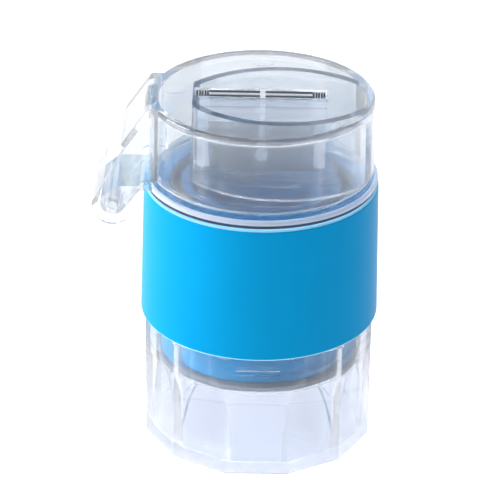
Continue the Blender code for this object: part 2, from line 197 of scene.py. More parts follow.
POLYSTYRENE_IOR = 1.53
clear_lid = clear_moulding("clear_polystyrene_polished_lid", "F2F6FA", ripple=0.02)
clear_cup = clear_moulding("clear_polystyrene_polished_cup", "E0E4ED", ripple=0.06, arches=True)
frosted_base = clear_moulding("clear_polystyrene_frosted_base", "FAFBFF", roughness=0.62)
# The seat's light blue tint is painted: it stands for the blue crusher seen through the clear floor.
seat_painted_blue = clear_moulding("clear_polystyrene_seat_painted_blue", "9CCCE0", ripple=0.0, body=0.60)
# Dark navy tint: painted shade for the gap under the seat's flange.
painted_step_shade = clear_moulding("clear_polystyrene_painted_step_shade", "1B3550", roughness=0.3, glass=0.3,
                           body=1.0)
frosted_rim = clear_moulding("clear_polystyrene_matt_rim", "F4F2F8", roughness=0.4, glass=0.5)
clear_holder = clear_moulding("clear_polystyrene_machined_holder", "FCFDFF", roughness=0.18,
                              glass=0.55)
# Dark grey tint: painted shade for the gaps along the blade holder's slot.
painted_slot_shade = clear_moulding("clear_polystyrene_painted_slot_shade", "2A3A48", roughness=0.3, glass=0.0,
                            body=1.0)


# %% [markdown]
# ## Sky-blue polypropylene
# The grip ring is an opaque satin moulding. Polypropylene is slightly waxy: it scatters a little light
# under its skin, and its gloss is soft. Its colour drifts by a percent or two where the melt cooled,
# and fine scuffs from the fingers show only in the gloss. Pale bands at both rims of the ring are
# painted highlights.

# %% Sky-blue polypropylene
def blue_moulding(name, light_hex, deep_hex, roughness, grain=0.10, highlight_edges_z=()):
    made, tree = empty_material(name)
    place = add_node(tree, "ShaderNodeTexCoord").outputs["Object"]
    drift = add_node(tree, "ShaderNodeTexNoise", links={"Vector": place},
                     Scale=1 / (14 * MM), Detail=2.0)
    colour = add_node(tree, "ShaderNodeMix", {"data_type": "RGBA"},
                      links={"Factor": drift.outputs["Fac"]})
    colour.inputs[6].default_value = linear(light_hex)
    colour.inputs[7].default_value = linear(deep_hex)
    shade = colour.outputs[2]
    height = add_node(tree, "ShaderNodeSeparateXYZ", links={"Vector": place}).outputs["Z"]
    # Pale bands at the given heights are painted highlights along the ring's edges, mixed toward A9E2F8.
    for highlight_z in highlight_edges_z:
        near = add_node(tree, "ShaderNodeMath", {"operation": "COMPARE"})
        tree.links.new(height, near.inputs[0])
        near.inputs[1].default_value, near.inputs[2].default_value = highlight_z, 0.14 * MM
        painted_highlight = add_node(tree, "ShaderNodeMix", {"data_type": "RGBA"},
                          links={"Factor": near.outputs["Value"]})
        tree.links.new(shade, painted_highlight.inputs[6])
        painted_highlight.inputs[7].default_value = linear("A9E2F8")
        shade = painted_highlight.outputs[2]
    scuffs = add_node(tree, "ShaderNodeTexNoise", links={"Vector": place},
                      Scale=1 / (1.2 * MM), Detail=5.0, Roughness=0.65)
    gloss = add_node(tree, "ShaderNodeMapRange", links={"Value": scuffs.outputs["Fac"]})
    gloss.inputs["To Min"].default_value = roughness * 0.8
    gloss.inputs["To Max"].default_value = roughness * 1.25
    skin = add_node(tree, "ShaderNodeTexNoise", links={"Vector": place},
                    Scale=1 / (0.35 * MM), Detail=2.0)
    relief = add_node(tree, "ShaderNodeBump", links={"Height": skin.outputs["Fac"]},
                      Strength=grain, Distance=0.02 * MM)
    plastic = add_node(tree, "ShaderNodeBsdfPrincipled",
                       links={"Base Color": shade, "Roughness": gloss.outputs["Result"],
                              "Normal": relief.outputs["Normal"]},
                       IOR=1.49, Specular_IOR_Level=0.04)
    add_node(tree, "ShaderNodeOutputMaterial", links={"Surface": plastic.outputs["BSDF"]})
    return made


blue_ring = blue_moulding("sky_blue_polypropylene_satin", "009AD4", "0092CC", 0.34,
                          highlight_edges_z=(ring_low.z + 0.25 * MM, ring_high.z - 0.05 * MM))
blue_bowl = blue_moulding("sky_blue_polypropylene_bowl", "00A2DA", "0098D0", 0.40)
blue_plunger = blue_moulding("teal_blue_polypropylene_plunger", "008FC2", "0085B6", 0.40)


# %% [markdown]
# ## Razor steel and silicone
# The blade is cold-rolled stainless strip with fine lines along its length from rolling, and a ground
# edge. A stretched noise gives the lines. The seal is soft grey silicone with a matt, dusty skin.

# %% Razor steel and silicone
def rolled_steel(name, colour_hex, line_mm):
    made, tree = empty_material(name)
    place = add_node(tree, "ShaderNodeTexCoord").outputs["Object"]
    stretch = add_node(tree, "ShaderNodeMapping", links={"Vector": place},
                       Scale=(0.03, 1.0, 1.0))
    lines = add_node(tree, "ShaderNodeTexNoise", links={"Vector": stretch.outputs["Vector"]},
                     Scale=1 / (line_mm * MM), Detail=3.0)
    gloss = add_node(tree, "ShaderNodeMapRange", links={"Value": lines.outputs["Fac"]})
    gloss.inputs["To Min"].default_value = 0.30
    gloss.inputs["To Max"].default_value = 0.38
    relief = add_node(tree, "ShaderNodeBump", links={"Height": lines.outputs["Fac"]},
                      Strength=0.05, Distance=0.01 * MM)
    metal = add_node(tree, "ShaderNodeBsdfPrincipled",
                     links={"Roughness": gloss.outputs["Result"], "Normal": relief.outputs["Normal"]},
                     Base_Color=linear(colour_hex), Metallic=1.0)
    add_node(tree, "ShaderNodeOutputMaterial", links={"Surface": metal.outputs["BSDF"]})
    return made


def soft_silicone(name, light_hex, dark_hex):
    made, tree = empty_material(name)
    place = add_node(tree, "ShaderNodeTexCoord").outputs["Object"]
    dust = add_node(tree, "ShaderNodeTexNoise", links={"Vector": place},
                    Scale=1 / (0.8 * MM), Detail=5.0)
    colour = add_node(tree, "ShaderNodeMix", {"data_type": "RGBA"},
                      links={"Factor": dust.outputs["Fac"]})
    colour.inputs[6].default_value = linear(light_hex)
    colour.inputs[7].default_value = linear(dark_hex)
    relief = add_node(tree, "ShaderNodeBump", links={"Height": dust.outputs["Fac"]},
                      Strength=0.2, Distance=0.03 * MM)
    rubber = add_node(tree, "ShaderNodeBsdfPrincipled",
                      links={"Base Color": colour.outputs[2], "Normal": relief.outputs["Normal"]},
                      Roughness=0.55, IOR=1.41)
    add_node(tree, "ShaderNodeOutputMaterial", links={"Surface": rubber.outputs["BSDF"]})
    return made


blade_steel = rolled_steel("razor_steel_rolled", "DAD3CA", 0.25)
seal_silicone = soft_silicone("grey_silicone_moulded", "8A9296", "767E83")


# %% [markdown]
# ## Tools for round and moulded shapes
# Almost every piece is turned or is a drawn outline pushed through space. Real mouldings have no
# knife-sharp corners, so `rounded` puts an arc at each corner of an outline first. The arcs are what
# catches the light in thin bright lines along the edges.

# %% Shape helpers
TURN_STEPS = 144


def rounded(corners, steps=4):
    """Outline from (x, y, radius) corners, with an arc at each corner that has a radius."""
    outline = []
    for i, (x, y, radius) in enumerate(corners):
        here = Vector((x, y))
        before = Vector(corners[i - 1][:2]) - here
        after = Vector(corners[(i + 1) % len(corners)][:2]) - here
        turn = before.angle(after, 0.0) if before.length and after.length else 0.0
        if not radius or turn < 0.05 or turn > math.pi - 0.05:
            outline.append(here)
            continue
        reach = min(radius / math.tan(turn / 2), 0.48 * before.length, 0.48 * after.length)
        size = reach * math.tan(turn / 2)
        middle = here + (before.normalized() + after.normalized()).normalized() * (
            size / math.sin(turn / 2))
        start = here + before.normalized() * reach - middle
        sweep = (math.pi - turn) * (1 if start.cross(here + after.normalized() * reach - middle) > 0
                                    else -1)
        for k in range(steps + 1):
            point = start.copy()
            point.rotate(Matrix.Rotation(sweep * k / steps, 2))
            outline.append(middle + point)
    return [tuple(p) for p in outline]


def as_object(name, bm, material, sharp_degrees=32.0):
    """Close a bmesh as a smooth object whose flat faces stay flat."""
    bmesh.ops.remove_doubles(bm, verts=bm.verts, dist=1e-7)
    bmesh.ops.recalc_face_normals(bm, faces=bm.faces)
    mesh = bpy.data.meshes.new(name)
    bm.to_mesh(mesh)
    bm.free()
    mesh.shade_smooth()
    mesh.set_sharp_from_angle(angle=math.radians(sharp_degrees))
    if material:
        mesh.materials.append(material)
    made = bpy.data.objects.new(name, mesh)
    bpy.context.collection.objects.link(made)
    return made


def turned(name, outline, material=None, steps=TURN_STEPS, start=0.0):
    """Spin a closed outline of (radius, height) about the screw axis."""
    bm = bmesh.new()
    verts = [bm.verts.new((r * math.cos(start), r * math.sin(start), z)) for r, z in outline]
    edges = [bm.edges.new((a, b)) for a, b in zip(verts, verts[1:] + verts[:1]) if a is not b]
    bmesh.ops.spin(bm, geom=verts + edges, cent=(0, 0, 0), axis=(0, 0, 1),
                   angle=2 * math.pi, steps=steps, use_merge=True)
    return as_object(name, bm, material)


def pushed(name, points, along, material=None):
    """Push a flat outline of 3-D points along a vector."""
    bm = bmesh.new()
    face = bm.faces.new([bm.verts.new(p) for p in points])
    swept = bmesh.ops.extrude_face_region(bm, geom=[face])
    moved = [v for v in swept["geom"] if isinstance(v, bmesh.types.BMVert)]
    bmesh.ops.translate(bm, verts=moved, vec=along)
    return as_object(name, bm, material)


def slab(name, low, high, radius=0.0, material=None):
    """Block between two corners with all its edges rounded."""
    bm = bmesh.new()
    bmesh.ops.create_cube(bm, size=1.0)
    low, high = Vector(low), Vector(high)
    bmesh.ops.transform(bm, verts=bm.verts,
                        matrix=Matrix.LocRotScale((low + high) / 2, None, high - low))
    if radius:
        bmesh.ops.bevel(bm, geom=bm.edges[:], offset=radius, segments=2, affect="EDGES",
                        profile=0.5, clamp_overlap=True)
    return as_object(name, bm, material)


def carve(piece, tool, operation):
    """Boolean that is applied at once. The tool is used up."""
    step = piece.modifiers.new("carve", "BOOLEAN")
    step.operation = operation
    step.solver = "EXACT"
    step.object = tool
    graph = bpy.context.evaluated_depsgraph_get()
    result = bpy.data.meshes.new_from_object(piece.evaluated_get(graph))
    piece.modifiers.remove(step)
    piece.data = result
    bpy.data.objects.remove(tool, do_unlink=True)
    return piece


def polish(piece, sharp_degrees=32.0):
    """Shade a carved piece smooth, with weighted normals so that the flats stay optically flat."""
    piece.data.shade_smooth()
    piece.data.set_sharp_from_angle(angle=math.radians(sharp_degrees))
    weigh = piece.modifiers.new("weighted normals", "WEIGHTED_NORMAL")
    weigh.keep_sharp = True
    return piece


def place(piece, body, *nodes, slot=None):
    """Ride on a body and stand for CAD nodes. The slot argument is not used."""
    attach(piece, body)
    if nodes:
        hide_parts(*nodes)
    print(piece.name, "rides on", body, "with", len(piece.data.polygons), "faces")
    return piece


# %% [markdown]
# ## Storage cup
# The cup is a faceted tumbler. Outside it has twelve flat grip facets. Inside, a round bore takes the
# neck, and below its ledge twelve tapered flats meet the round wall, which draws the row of arches
# that the clear wall shows. Cutting a cone-like prism and a cylinder against each other gives those
# arches exactly, where a grid of points would give them jagged. A small lug inside the front wall
# engages the neck's thread, and the underside is frosted.

# %% Storage cup
cup_top = cup_high.z
cup_corner_r = cup_high.x / math.cos(math.pi / FACETS)
print("cup", round(cup_top / MM, 2), "mm tall, ledge at", round(LEDGE_Z / MM, 2))


def facet_ring(radius, edge_radius, steps=3):
    """Twelve-sided outline with small arcs at its corners, as 2-D points."""
    corners = []
    for i in range(FACETS):
        turn = math.pi / FACETS + 2 * math.pi * i / FACETS
        corners.append((radius * math.cos(turn), radius * math.sin(turn), edge_radius))
    return rounded(corners, steps)


def stacked(name, rings, material=None):
    """Solid through a stack of (outline, height) rings with the same number of points."""
    bm = bmesh.new()
    levels = [[bm.verts.new((x, y, z)) for x, y in outline] for outline, z in rings]
    for low, high in zip(levels, levels[1:]):
        for i, vert in enumerate(low):
            after = (i + 1) % len(low)
            bm.faces.new((vert, low[after], high[after], high[i]))
    bm.faces.new(levels[0][::-1])
    bm.faces.new(levels[-1])
    return as_object(name, bm, material, sharp_degrees=20.0)


CUP_EDGE_R = 0.15 * MM
cup_rings = [(facet_ring(cup_corner_r - 0.25 * MM, CUP_EDGE_R), 0.0),
             (facet_ring(cup_corner_r - 0.08 * MM, CUP_EDGE_R), 0.07 * MM),
             (facet_ring(cup_corner_r, CUP_EDGE_R), 0.25 * MM),
             (facet_ring(cup_corner_r, CUP_EDGE_R), cup_top - 0.3 * MM),
             (facet_ring(cup_corner_r - 0.2 * MM, CUP_EDGE_R), cup_top)]
cup = stacked("storage_cup", cup_rings, clear_cup)
to_corner = 1 / math.cos(math.pi / FACETS)
flats = stacked("flats", [(facet_ring(FLAT_LOW_R * to_corner - 0.4 * MM, 0.15 * MM), CUP_FLOOR_Z),
                          (facet_ring(FLAT_LOW_R * to_corner, 0.15 * MM), CUP_FLOOR_Z + 0.4 * MM),
                          (facet_ring(FLAT_TOP_R * to_corner, 0.15 * MM), LEDGE_Z + 1.0 * MM)])
round_wall = turned("round_wall", [(0, LEDGE_Z + 2 * MM), (ROUND_R, LEDGE_Z + 2 * MM),
                                   (ROUND_R, 0), (0, 0)])
carve(flats, round_wall, "INTERSECT")
carve(cup, flats, "DIFFERENCE")
bore = turned("bore", rounded([(0, cup_top + MM, 0), (BORE_R, cup_top + MM, 0),
                               (BORE_R, LEDGE_Z, 0.25 * MM), (0, LEDGE_Z, 0)]))
carve(cup, bore, "DIFFERENCE")
thread_lug = slab("thread_lug", (-4.7 * MM, -22.4 * MM, 23.4 * MM),
                  (4.7 * MM, -21.25 * MM, 24.6 * MM), 0.35 * MM)
carve(cup, thread_lug, "UNION")
cup.data.materials.append(frosted_base)
for face in cup.data.polygons:
    if face.normal.z < -0.9 and face.center.z < 0.1 * MM:
        face.material_index = 1
place(polish(cup, 18.0), "cup", "base_cup", slot="clear_plastic")


# %% [markdown]
# ## Neck seal, bowl and grip ring
# These are turned pieces. The bowl's neck carries a coarse thread ridge that holds the cup. The ridge
# is a small trapezium carried along a helix with the same lead as the screw joint.

# %% Neck seal
seal_in, seal_out = 19.4 * MM, seal_high.x
seal = turned("neck_seal_ring", rounded([
    (seal_out, seal_high.z, 0.4 * MM), (seal_out, seal_low.z, 0.4 * MM),
    (seal_in, seal_low.z, 0.3 * MM), (seal_in, seal_high.z, 0.3 * MM)]), seal_silicone)
place(polish(seal), "seal", "neck_seal", slot="seal_rubber")

# %% Crushing bowl
NECK_R = 20.6 * MM
BOWL_R = bowl_high.x
BOWL_BORE_R = 19.4 * MM
NECK_BORE_R = 18.9 * MM
SHOULDER_Z = 30.5 * MM
BOWL_FLOOR_Z = 41.0 * MM
BOWL_FLOOR_T = 2.4 * MM
bowl = turned("bowl_and_neck", rounded([
    (0, BOWL_FLOOR_Z, 0), (BOWL_BORE_R - 1.5 * MM, BOWL_FLOOR_Z, 1.0 * MM),
    (BOWL_BORE_R, BOWL_FLOOR_Z + 1.2 * MM, 1.0 * MM), (BOWL_BORE_R, bowl_high.z, 0.3 * MM),
    (BOWL_R, bowl_high.z, 0.3 * MM), (BOWL_R, SHOULDER_Z, 0.2 * MM), (NECK_R, SHOULDER_Z, 0.3 * MM),
    (NECK_R, bowl_low.z, 0.5 * MM), (NECK_BORE_R, bowl_low.z, 0.4 * MM),
    (NECK_BORE_R, BOWL_FLOOR_Z - BOWL_FLOOR_T, 1.0 * MM), (0, BOWL_FLOOR_Z - BOWL_FLOOR_T, 0)]),
    blue_bowl)
place(polish(bowl), "bowl", "crushing_bowl", slot="blue_bowl")


# %% Thread ridge on the neck
def helix_ridge(name, radius, low_z, lead, turns, height, width, material, steps_per_turn=96):
    """A trapezium carried along a helix, run out to nothing at both ends."""
    bm = bmesh.new()
    count = int(steps_per_turn * turns)
    rows = []
    for i in range(count + 1):
        share = i / count
        run_out = min(1.0, share * 12, (1 - share) * 12)
        turn = 2 * math.pi * turns * share - math.pi / 2
        z = low_z + lead * turns * share
        out = radius + height * run_out
        profile = [(radius - 0.2 * MM, -width / 2), (out, -width / 5), (out, width / 5),
                   (radius - 0.2 * MM, width / 2)]
        rows.append([bm.verts.new((r * math.cos(turn), r * math.sin(turn), z + dz))
                     for r, dz in profile])
    for a, b in zip(rows, rows[1:]):
        for k in range(4):
            bm.faces.new((a[k], a[(k + 1) % 4], b[(k + 1) % 4], b[k]))
    bm.faces.new(rows[0])
    bm.faces.new(rows[-1][::-1])
    return as_object(name, bm, material)


cup_lead = next(c for c in frame["record"]["behaviour"]["couplings"]
                if c["joint"] == "cup_travel")["ratio"] * 2 * math.pi
ridge = helix_ridge("neck_thread", NECK_R, bowl_low.z + 1.2 * MM, cup_lead, 0.85, 0.75 * MM,
                    1.3 * MM, blue_bowl)
place(ridge, "bowl", slot="blue_bowl")
print("thread lead", round(cup_lead / MM, 2), "mm")

# %% Grip ring
RING_TOP_R, RING_BORE_R, LIP_R, LIP_Z = 25.0 * MM, 23.3 * MM, 21.0 * MM, 30.2 * MM
ring = turned("grip_ring_sleeve", rounded([
    (RING_TOP_R, ring_high.z, 0.55 * MM), (ring_high.x, ring_low.z, 0.45 * MM),
    (LIP_R, ring_low.z, 0.3 * MM), (LIP_R, LIP_Z, 0.2 * MM), (RING_BORE_R, LIP_Z, 0.2 * MM),
    (RING_BORE_R, ring_high.z, 0.35 * MM)], steps=5), blue_ring)
place(polish(ring), "bowl", "grip_ring", slot="blue_ring")

# %% [markdown]
# ## Crushing plunger
# The plunger hangs under the seat and turns the pill to powder. Its foot carries radial teeth.

# %% Crushing plunger
PLUNGER_R, FOOT_R, TOOTH_H = 16.9 * MM, plunger_high.x, 1.0 * MM
face_z = plunger_low.z + TOOTH_H
inside_z, foot_top = face_z + 2.2 * MM, 50.0 * MM
plunger = turned("plunger_body", rounded([
    (0, inside_z, 0), (PLUNGER_R - 1.8 * MM, inside_z, 0.8 * MM),
    (PLUNGER_R - 1.8 * MM, plunger_high.z, 0.3 * MM),
    (PLUNGER_R, plunger_high.z, 0.4 * MM), (PLUNGER_R, foot_top, 0.5 * MM),
    (FOOT_R, foot_top - 1.6 * MM, 0.5 * MM), (FOOT_R, face_z + 1.6 * MM, 0.5 * MM),
    (FOOT_R - 1.6 * MM, face_z, 0.5 * MM), (0, face_z, 0)]), blue_plunger)
for i in range(8):
    tooth = pushed("tooth", [(3 * MM, -1.0 * MM, face_z + 0.6 * MM), (3 * MM, 0, plunger_low.z),
                             (3 * MM, 1.0 * MM, face_z + 0.6 * MM)], (13 * MM, 0, 0))
    tooth.data.transform(Matrix.Rotation(2 * math.pi * i / 8, 4, "Z"))
    carve(plunger, tooth, "UNION")
place(polish(plunger), "plunger", "crusher_plunger", slot="blue_bowl")


# %% [markdown]
# ## Cutter seat
# The seat is one clear moulding. Its flange rests just above the ring, a raised land carries the lid,
# a low bar under the blade is the cutting anvil, and an ear reaches out to the hinge. The flange's
# rim is matt above, and below it a dark tint paints the shade in the gap over the ring. The seat's
# plastic carries a painted light blue tint for the blue crusher seen through it, and the ear outside
# is as clear as the lid.

# %% Cutter seat
FLANGE_R, LAND_R, POCKET_R = 24.8 * MM, 23.8 * MM, 22.9 * MM
FLANGE_TOP, LAND_TOP, FLOOR_TOP = 60.8 * MM, seat_high.z, 60.3 * MM
FLANGE_LOW, FLOOR_LOW = 59.1 * MM, 58.8 * MM
SKIRT_R, SKIRT_BORE_R, SKIRT_LOW = 19.0 * MM, 17.4 * MM, seat_low.z
seat = turned("cutter_seat", rounded([
    (0, FLOOR_TOP, 0), (POCKET_R, FLOOR_TOP, 0.25 * MM), (POCKET_R, LAND_TOP, 0.2 * MM),
    (LAND_R, LAND_TOP, 0.25 * MM), (LAND_R, FLANGE_TOP, 0.2 * MM), (FLANGE_R, FLANGE_TOP, 0.6 * MM),
    (FLANGE_R, FLANGE_LOW + 0.75 * MM, 0), (FLANGE_R, FLANGE_LOW, 0.3 * MM),
    (SKIRT_R + 2 * MM, FLANGE_LOW, 0.3 * MM),
    (SKIRT_R, FLOOR_LOW - 0.3 * MM, 0.3 * MM), (SKIRT_R, SKIRT_LOW, 0.4 * MM),
    (SKIRT_BORE_R, SKIRT_LOW, 0.4 * MM), (SKIRT_BORE_R, FLOOR_LOW, 0.5 * MM),
    (0, FLOOR_LOW, 0)]), seat_painted_blue)
SEAT_MARKS = [(-10.2, -12.4), (8.8, -15.4)]
for x, y in SEAT_MARKS:
    mark = turned("seat_mark", rounded([
        (0, FLOOR_TOP + MM, 0), (3.1 * MM, FLOOR_TOP + MM, 0),
        (3.1 * MM, FLOOR_TOP - 0.12 * MM, 0.05 * MM), (0, FLOOR_TOP - 0.12 * MM, 0)], steps=2),
        steps=48)
    mark.data.transform(Matrix.Translation((x * MM, y * MM, 0)))
    carve(seat, mark, "DIFFERENCE")

KNUCKLE_R, EAR_HALF_Y = 2.7 * MM, 7.85 * MM


def arc_points(centre_x, centre_z, radius, start, end, steps):
    turns = [math.radians(start + (end - start) * i / steps) for i in range(steps + 1)]
    return [(centre_x + radius * math.cos(t), centre_z + radius * math.sin(t)) for t in turns]


ear_outline = rounded([(-22.8 * MM, FLANGE_TOP - 0.3 * MM, 0),
                       (hinge.x + 1.0 * MM, FLANGE_TOP - 0.3 * MM, 1.5 * MM)])
ear_outline += arc_points(hinge.x, hinge.z, KNUCKLE_R, 150, 330, 18)
ear_outline += [(-25.6 * MM, FLANGE_LOW + 0.1 * MM), (-22.8 * MM, FLANGE_LOW + 0.1 * MM)]
ear = pushed("ear", [(x, -EAR_HALF_Y, z) for x, z in ear_outline], (0, 2 * EAR_HALF_Y, 0))
carve(seat, ear, "UNION")
anvil = slab("anvil", (blade_low.x, -0.9 * MM, FLOOR_TOP - 0.3 * MM),
             (blade_high.x, 0.9 * MM, FLOOR_TOP + 0.3 * MM))
carve(seat, anvil, "UNION")
pin_r = pin_high.z - hinge.z
bore = pushed("bore", [(x, -12 * MM, z) for x, z in
                       arc_points(hinge.x, hinge.z, pin_r + 0.3 * MM, 0, 345, 23)], (0, 24 * MM, 0))
carve(seat, bore, "DIFFERENCE")
seat.data.materials.append(frosted_rim)
seat.data.materials.append(painted_step_shade)
seat.data.materials.append(clear_lid)
# Flange faces above its rim take the matt finish; the faces below take the painted shade of the gap.
for face in seat.data.polygons:
    flange_side = math.hypot(face.center.x, face.center.y) > LAND_R + 0.3 * MM
    if flange_side and face.center.x > -23 * MM:
        face.material_index = 1 if face.center.z > FLANGE_LOW + 0.55 * MM else 2
    elif face.center.x < -25 * MM:
        face.material_index = 3
place(polish(seat), "seat", "pill_seat", slot="clear_plastic")

# %% Hinge pin
pin = turned("hinge_axle", rounded([
    (0, pin_high.y, 0), (pin_r, pin_high.y, 0.3 * MM), (pin_r, pin_low.y, 0.3 * MM),
    (0, pin_low.y, 0)]), clear_lid, steps=32)
pin.data.transform(Matrix.Translation((hinge.x, 0, hinge.z)) @ Matrix.Rotation(math.pi / 2, 4, "X"))
place(polish(pin), "seat", "hinge_pin", slot="clear_plastic")


# %% [markdown]
# ## Lid
# The lid is the richest moulding: a drum with a flat top, a hollow arm to the hinge and two curved
# guard walls that close round the blade. All of it is one body, so the pieces are merged. Walls that
# only overlapped would show their hidden faces through the clear plastic.

# %% Lid drum
LID_WALL, DISC = 1.5 * MM, 1.8 * MM
LID_R, LID_TOP_R = 23.9 * MM, 23.65 * MM
LID_BOTTOM, LID_TOP = 62.0 * MM, lid_high.z
CAVITY_TOP = LID_TOP - DISC
lid = turned("clear_lid", rounded([
    (0, LID_TOP, 0), (LID_TOP_R, LID_TOP, 0.8 * MM), (LID_R, LID_BOTTOM, 0.3 * MM),
    (0, LID_BOTTOM, 0)]), clear_lid, steps=192)
cavity = turned("cavity", rounded([
    (0, CAVITY_TOP, 0), (LID_TOP_R - LID_WALL, CAVITY_TOP, 0.5 * MM),
    (LID_R - LID_WALL, LID_BOTTOM - MM, 0), (0, LID_BOTTOM - MM, 0)]), steps=192)

# %% [markdown]
# The arm is drawn in profile and pushed across. Its hollow is the same profile, one wall smaller.

# %% Hinge arm
ARM_HALF_Y, CHEEK, LOBE_R = 9.75 * MM, 1.5 * MM, 4.4 * MM
arm_top = LID_TOP - 0.05 * MM
arm_outline = rounded([(-20.8 * MM, arm_top, 0), (-23.8 * MM, arm_top, 1.6 * MM),
                       (-34.1 * MM, 63.8 * MM, 1.5 * MM)])
arm_outline += arc_points(hinge.x, hinge.z, LOBE_R, 172, 375, 30)
arm_outline += [(-25.5 * MM, LID_BOTTOM - 0.4 * MM), (-24.6 * MM, LID_BOTTOM + 0.2 * MM),
                (-20.8 * MM, LID_BOTTOM + 0.2 * MM)]
arm = pushed("arm", [(x, -ARM_HALF_Y, z) for x, z in arm_outline], (0, 2 * ARM_HALF_Y, 0))
soften = arm.modifiers.new("soft edges", "BEVEL")
soften.width, soften.segments, soften.limit_method = 0.3 * MM, 2, "ANGLE"
soften.angle_limit = math.radians(60)
hollow_half = ARM_HALF_Y - CHEEK
hollow_outline = rounded([(-22.4 * MM, 76.8 * MM, 0), (-23.6 * MM, 76.4 * MM, 0.6 * MM),
                          (-32.6 * MM, 63.4 * MM, 1.0 * MM), (-34.3 * MM, 57.0 * MM, 0.5 * MM),
                          (-36.5 * MM, 55.0 * MM, 0), (-36.5 * MM, 50 * MM, 0),
                          (-22.4 * MM, 50 * MM, 0)])
hollow = pushed("hollow", [(x, -hollow_half, z) for x, z in hollow_outline],
                (0, 2 * hollow_half, 0))
carve(arm, hollow, "DIFFERENCE")
arm.modifiers.clear()
carve(lid, arm, "UNION")
carve(lid, cavity, "DIFFERENCE")
print("lid with arm:", len(lid.data.polygons), "faces")

# %% [markdown]
# Each guard wall is an arc through three points: the closed left end, the widest place beside the
# blade, and the right end, where it meets the drum.

# %% Guard walls
GUARD_LOW, GUARD_WALL, END_WALL = 60.9 * MM, 1.8 * MM, 1.2 * MM
GUARD_LEFT, GUARD_MIDDLE, GUARD_RIGHT = (Vector((-14.1, 5.6)) * MM, Vector((0, 13.9)) * MM,
                                         Vector((22.3, 5.2)) * MM)


def circle_through(a, b, c):
    """Centre and radius of the circle through three points."""
    twice = 2 * (a.x * (b.y - c.y) + b.x * (c.y - a.y) + c.x * (a.y - b.y))
    weights = [(p.length_squared, q, r) for p, q, r in ((a, b, c), (b, c, a), (c, a, b))]
    centre = Vector((sum(s * (q.y - r.y) for s, q, r in weights) / twice,
                     sum(s * (r.x - q.x) for s, q, r in weights) / twice))
    return centre, (a - centre).length


guard_centre, guard_r = circle_through(GUARD_LEFT, GUARD_MIDDLE, GUARD_RIGHT)
guard_turns = [math.degrees(math.atan2(p.y - guard_centre.y, p.x - guard_centre.x))
               for p in (GUARD_LEFT, GUARD_RIGHT)]
for side, name in ((1, "rear"), (-1, "front")):
    outer = arc_points(*guard_centre, guard_r + GUARD_WALL / 2, *guard_turns, 40)
    inner = arc_points(*guard_centre, guard_r - GUARD_WALL / 2, *reversed(guard_turns), 40)
    wall = pushed(f"guard_{name}", [(x, side * y, GUARD_LOW) for x, y in outer + inner],
                  (0, 0, LID_TOP - DISC / 2 - GUARD_LOW))
    rim = wall.modifiers.new("soft rim", "BEVEL")
    rim.width, rim.segments, rim.limit_method = 0.35 * MM, 3, "ANGLE"
    rim.angle_limit = math.radians(60)
    relief = turned("relief", [(POCKET_R - 0.3 * MM, GUARD_LOW - MM), (30 * MM, GUARD_LOW - MM),
                               (30 * MM, LID_BOTTOM), (POCKET_R - 0.3 * MM, LID_BOTTOM)])
    carve(wall, relief, "DIFFERENCE")
    wall.modifiers.clear()
    carve(lid, wall, "UNION")
end_wall = slab("end_wall", (GUARD_LEFT.x - END_WALL / 2, -GUARD_LEFT.y, GUARD_LOW),
                (GUARD_LEFT.x + END_WALL / 2, GUARD_LEFT.y, LID_TOP - DISC / 2))
carve(lid, end_wall, "UNION")
print("guard radius", round(guard_r / MM, 2), "mm")

# %% [markdown]
# Ejector pins push the moulding out of its mould and leave small round witness marks under the disc.

# %% Witness marks, slot and pin bore
MARKS = [(0.0, 18.3), (0.0, -18.3), (13.5, -15.0), (-13.5, -15.0), (-18.6, 3.0), (0.0, 6.5),
         (0.0, -6.5)]
for x, y in MARKS:
    mark = turned("mark", rounded([(0, CAVITY_TOP + 0.3 * MM, 0), (2.6 * MM, CAVITY_TOP + 0.3 * MM, 0),
                                   (2.6 * MM, CAVITY_TOP - 0.12 * MM, 0.05 * MM),
                                   (0, CAVITY_TOP - 0.12 * MM, 0)], steps=2), steps=40)
    mark.data.transform(Matrix.Translation((x * MM, y * MM, 0)))
    carve(lid, mark, "UNION")
SLOT_LEFT, SLOT_RIGHT, SLOT_HALF_Y = -14.3 * MM, 13.5 * MM, 2.2 * MM
for side in (-1, 1):
    rib_y = sorted((side * (SLOT_HALF_Y - 0.1 * MM), side * (SLOT_HALF_Y + 0.8 * MM)))
    rib = slab("slot_rib", (SLOT_LEFT, rib_y[0], CAVITY_TOP - 1.5 * MM),
               (SLOT_RIGHT, rib_y[1], CAVITY_TOP + 0.3 * MM))
    carve(lid, rib, "UNION")
slot = slab("slot", (SLOT_LEFT, -SLOT_HALF_Y, CAVITY_TOP - 2.0 * MM),
            (SLOT_RIGHT, SLOT_HALF_Y, LID_TOP + MM))
carve(lid, slot, "DIFFERENCE")
bore = pushed("bore", [(x, -12 * MM, z) for x, z in
                       arc_points(hinge.x, hinge.z, pin_r + 0.3 * MM, 0, 345, 23)], (0, 24 * MM, 0))
carve(lid, bore, "DIFFERENCE")
place(polish(lid), "lid", "lid_shell", slot="clear_plastic")

# %% [markdown]
# ## Blade and holder
# The blade is a plain strip with a ground edge. The holder is a clear bar staked into the lid's slot.
# Its broad ends were melted with a ribbed horn, so they keep a row of small teeth. Two dark rails
# along the slot and the sides of the teeth carry painted shade for the dark gaps there.

# %% Blade
BLADE_T, BEVEL_H = 0.35 * MM, 1.2 * MM
blade_outline = [(-BLADE_T / 2, blade_high.z), (BLADE_T / 2, blade_high.z),
                 (BLADE_T / 2, blade_low.z + BEVEL_H), (0.02 * MM, blade_low.z),
                 (-0.02 * MM, blade_low.z), (-BLADE_T / 2, blade_low.z + BEVEL_H)]
strip = pushed("cutting_blade", [(blade_low.x, y, z) for y, z in blade_outline],
               (blade_high.x - blade_low.x, 0, 0), blade_steel)
place(polish(strip, 8.0), "lid", "blade", slot="blade_steel")

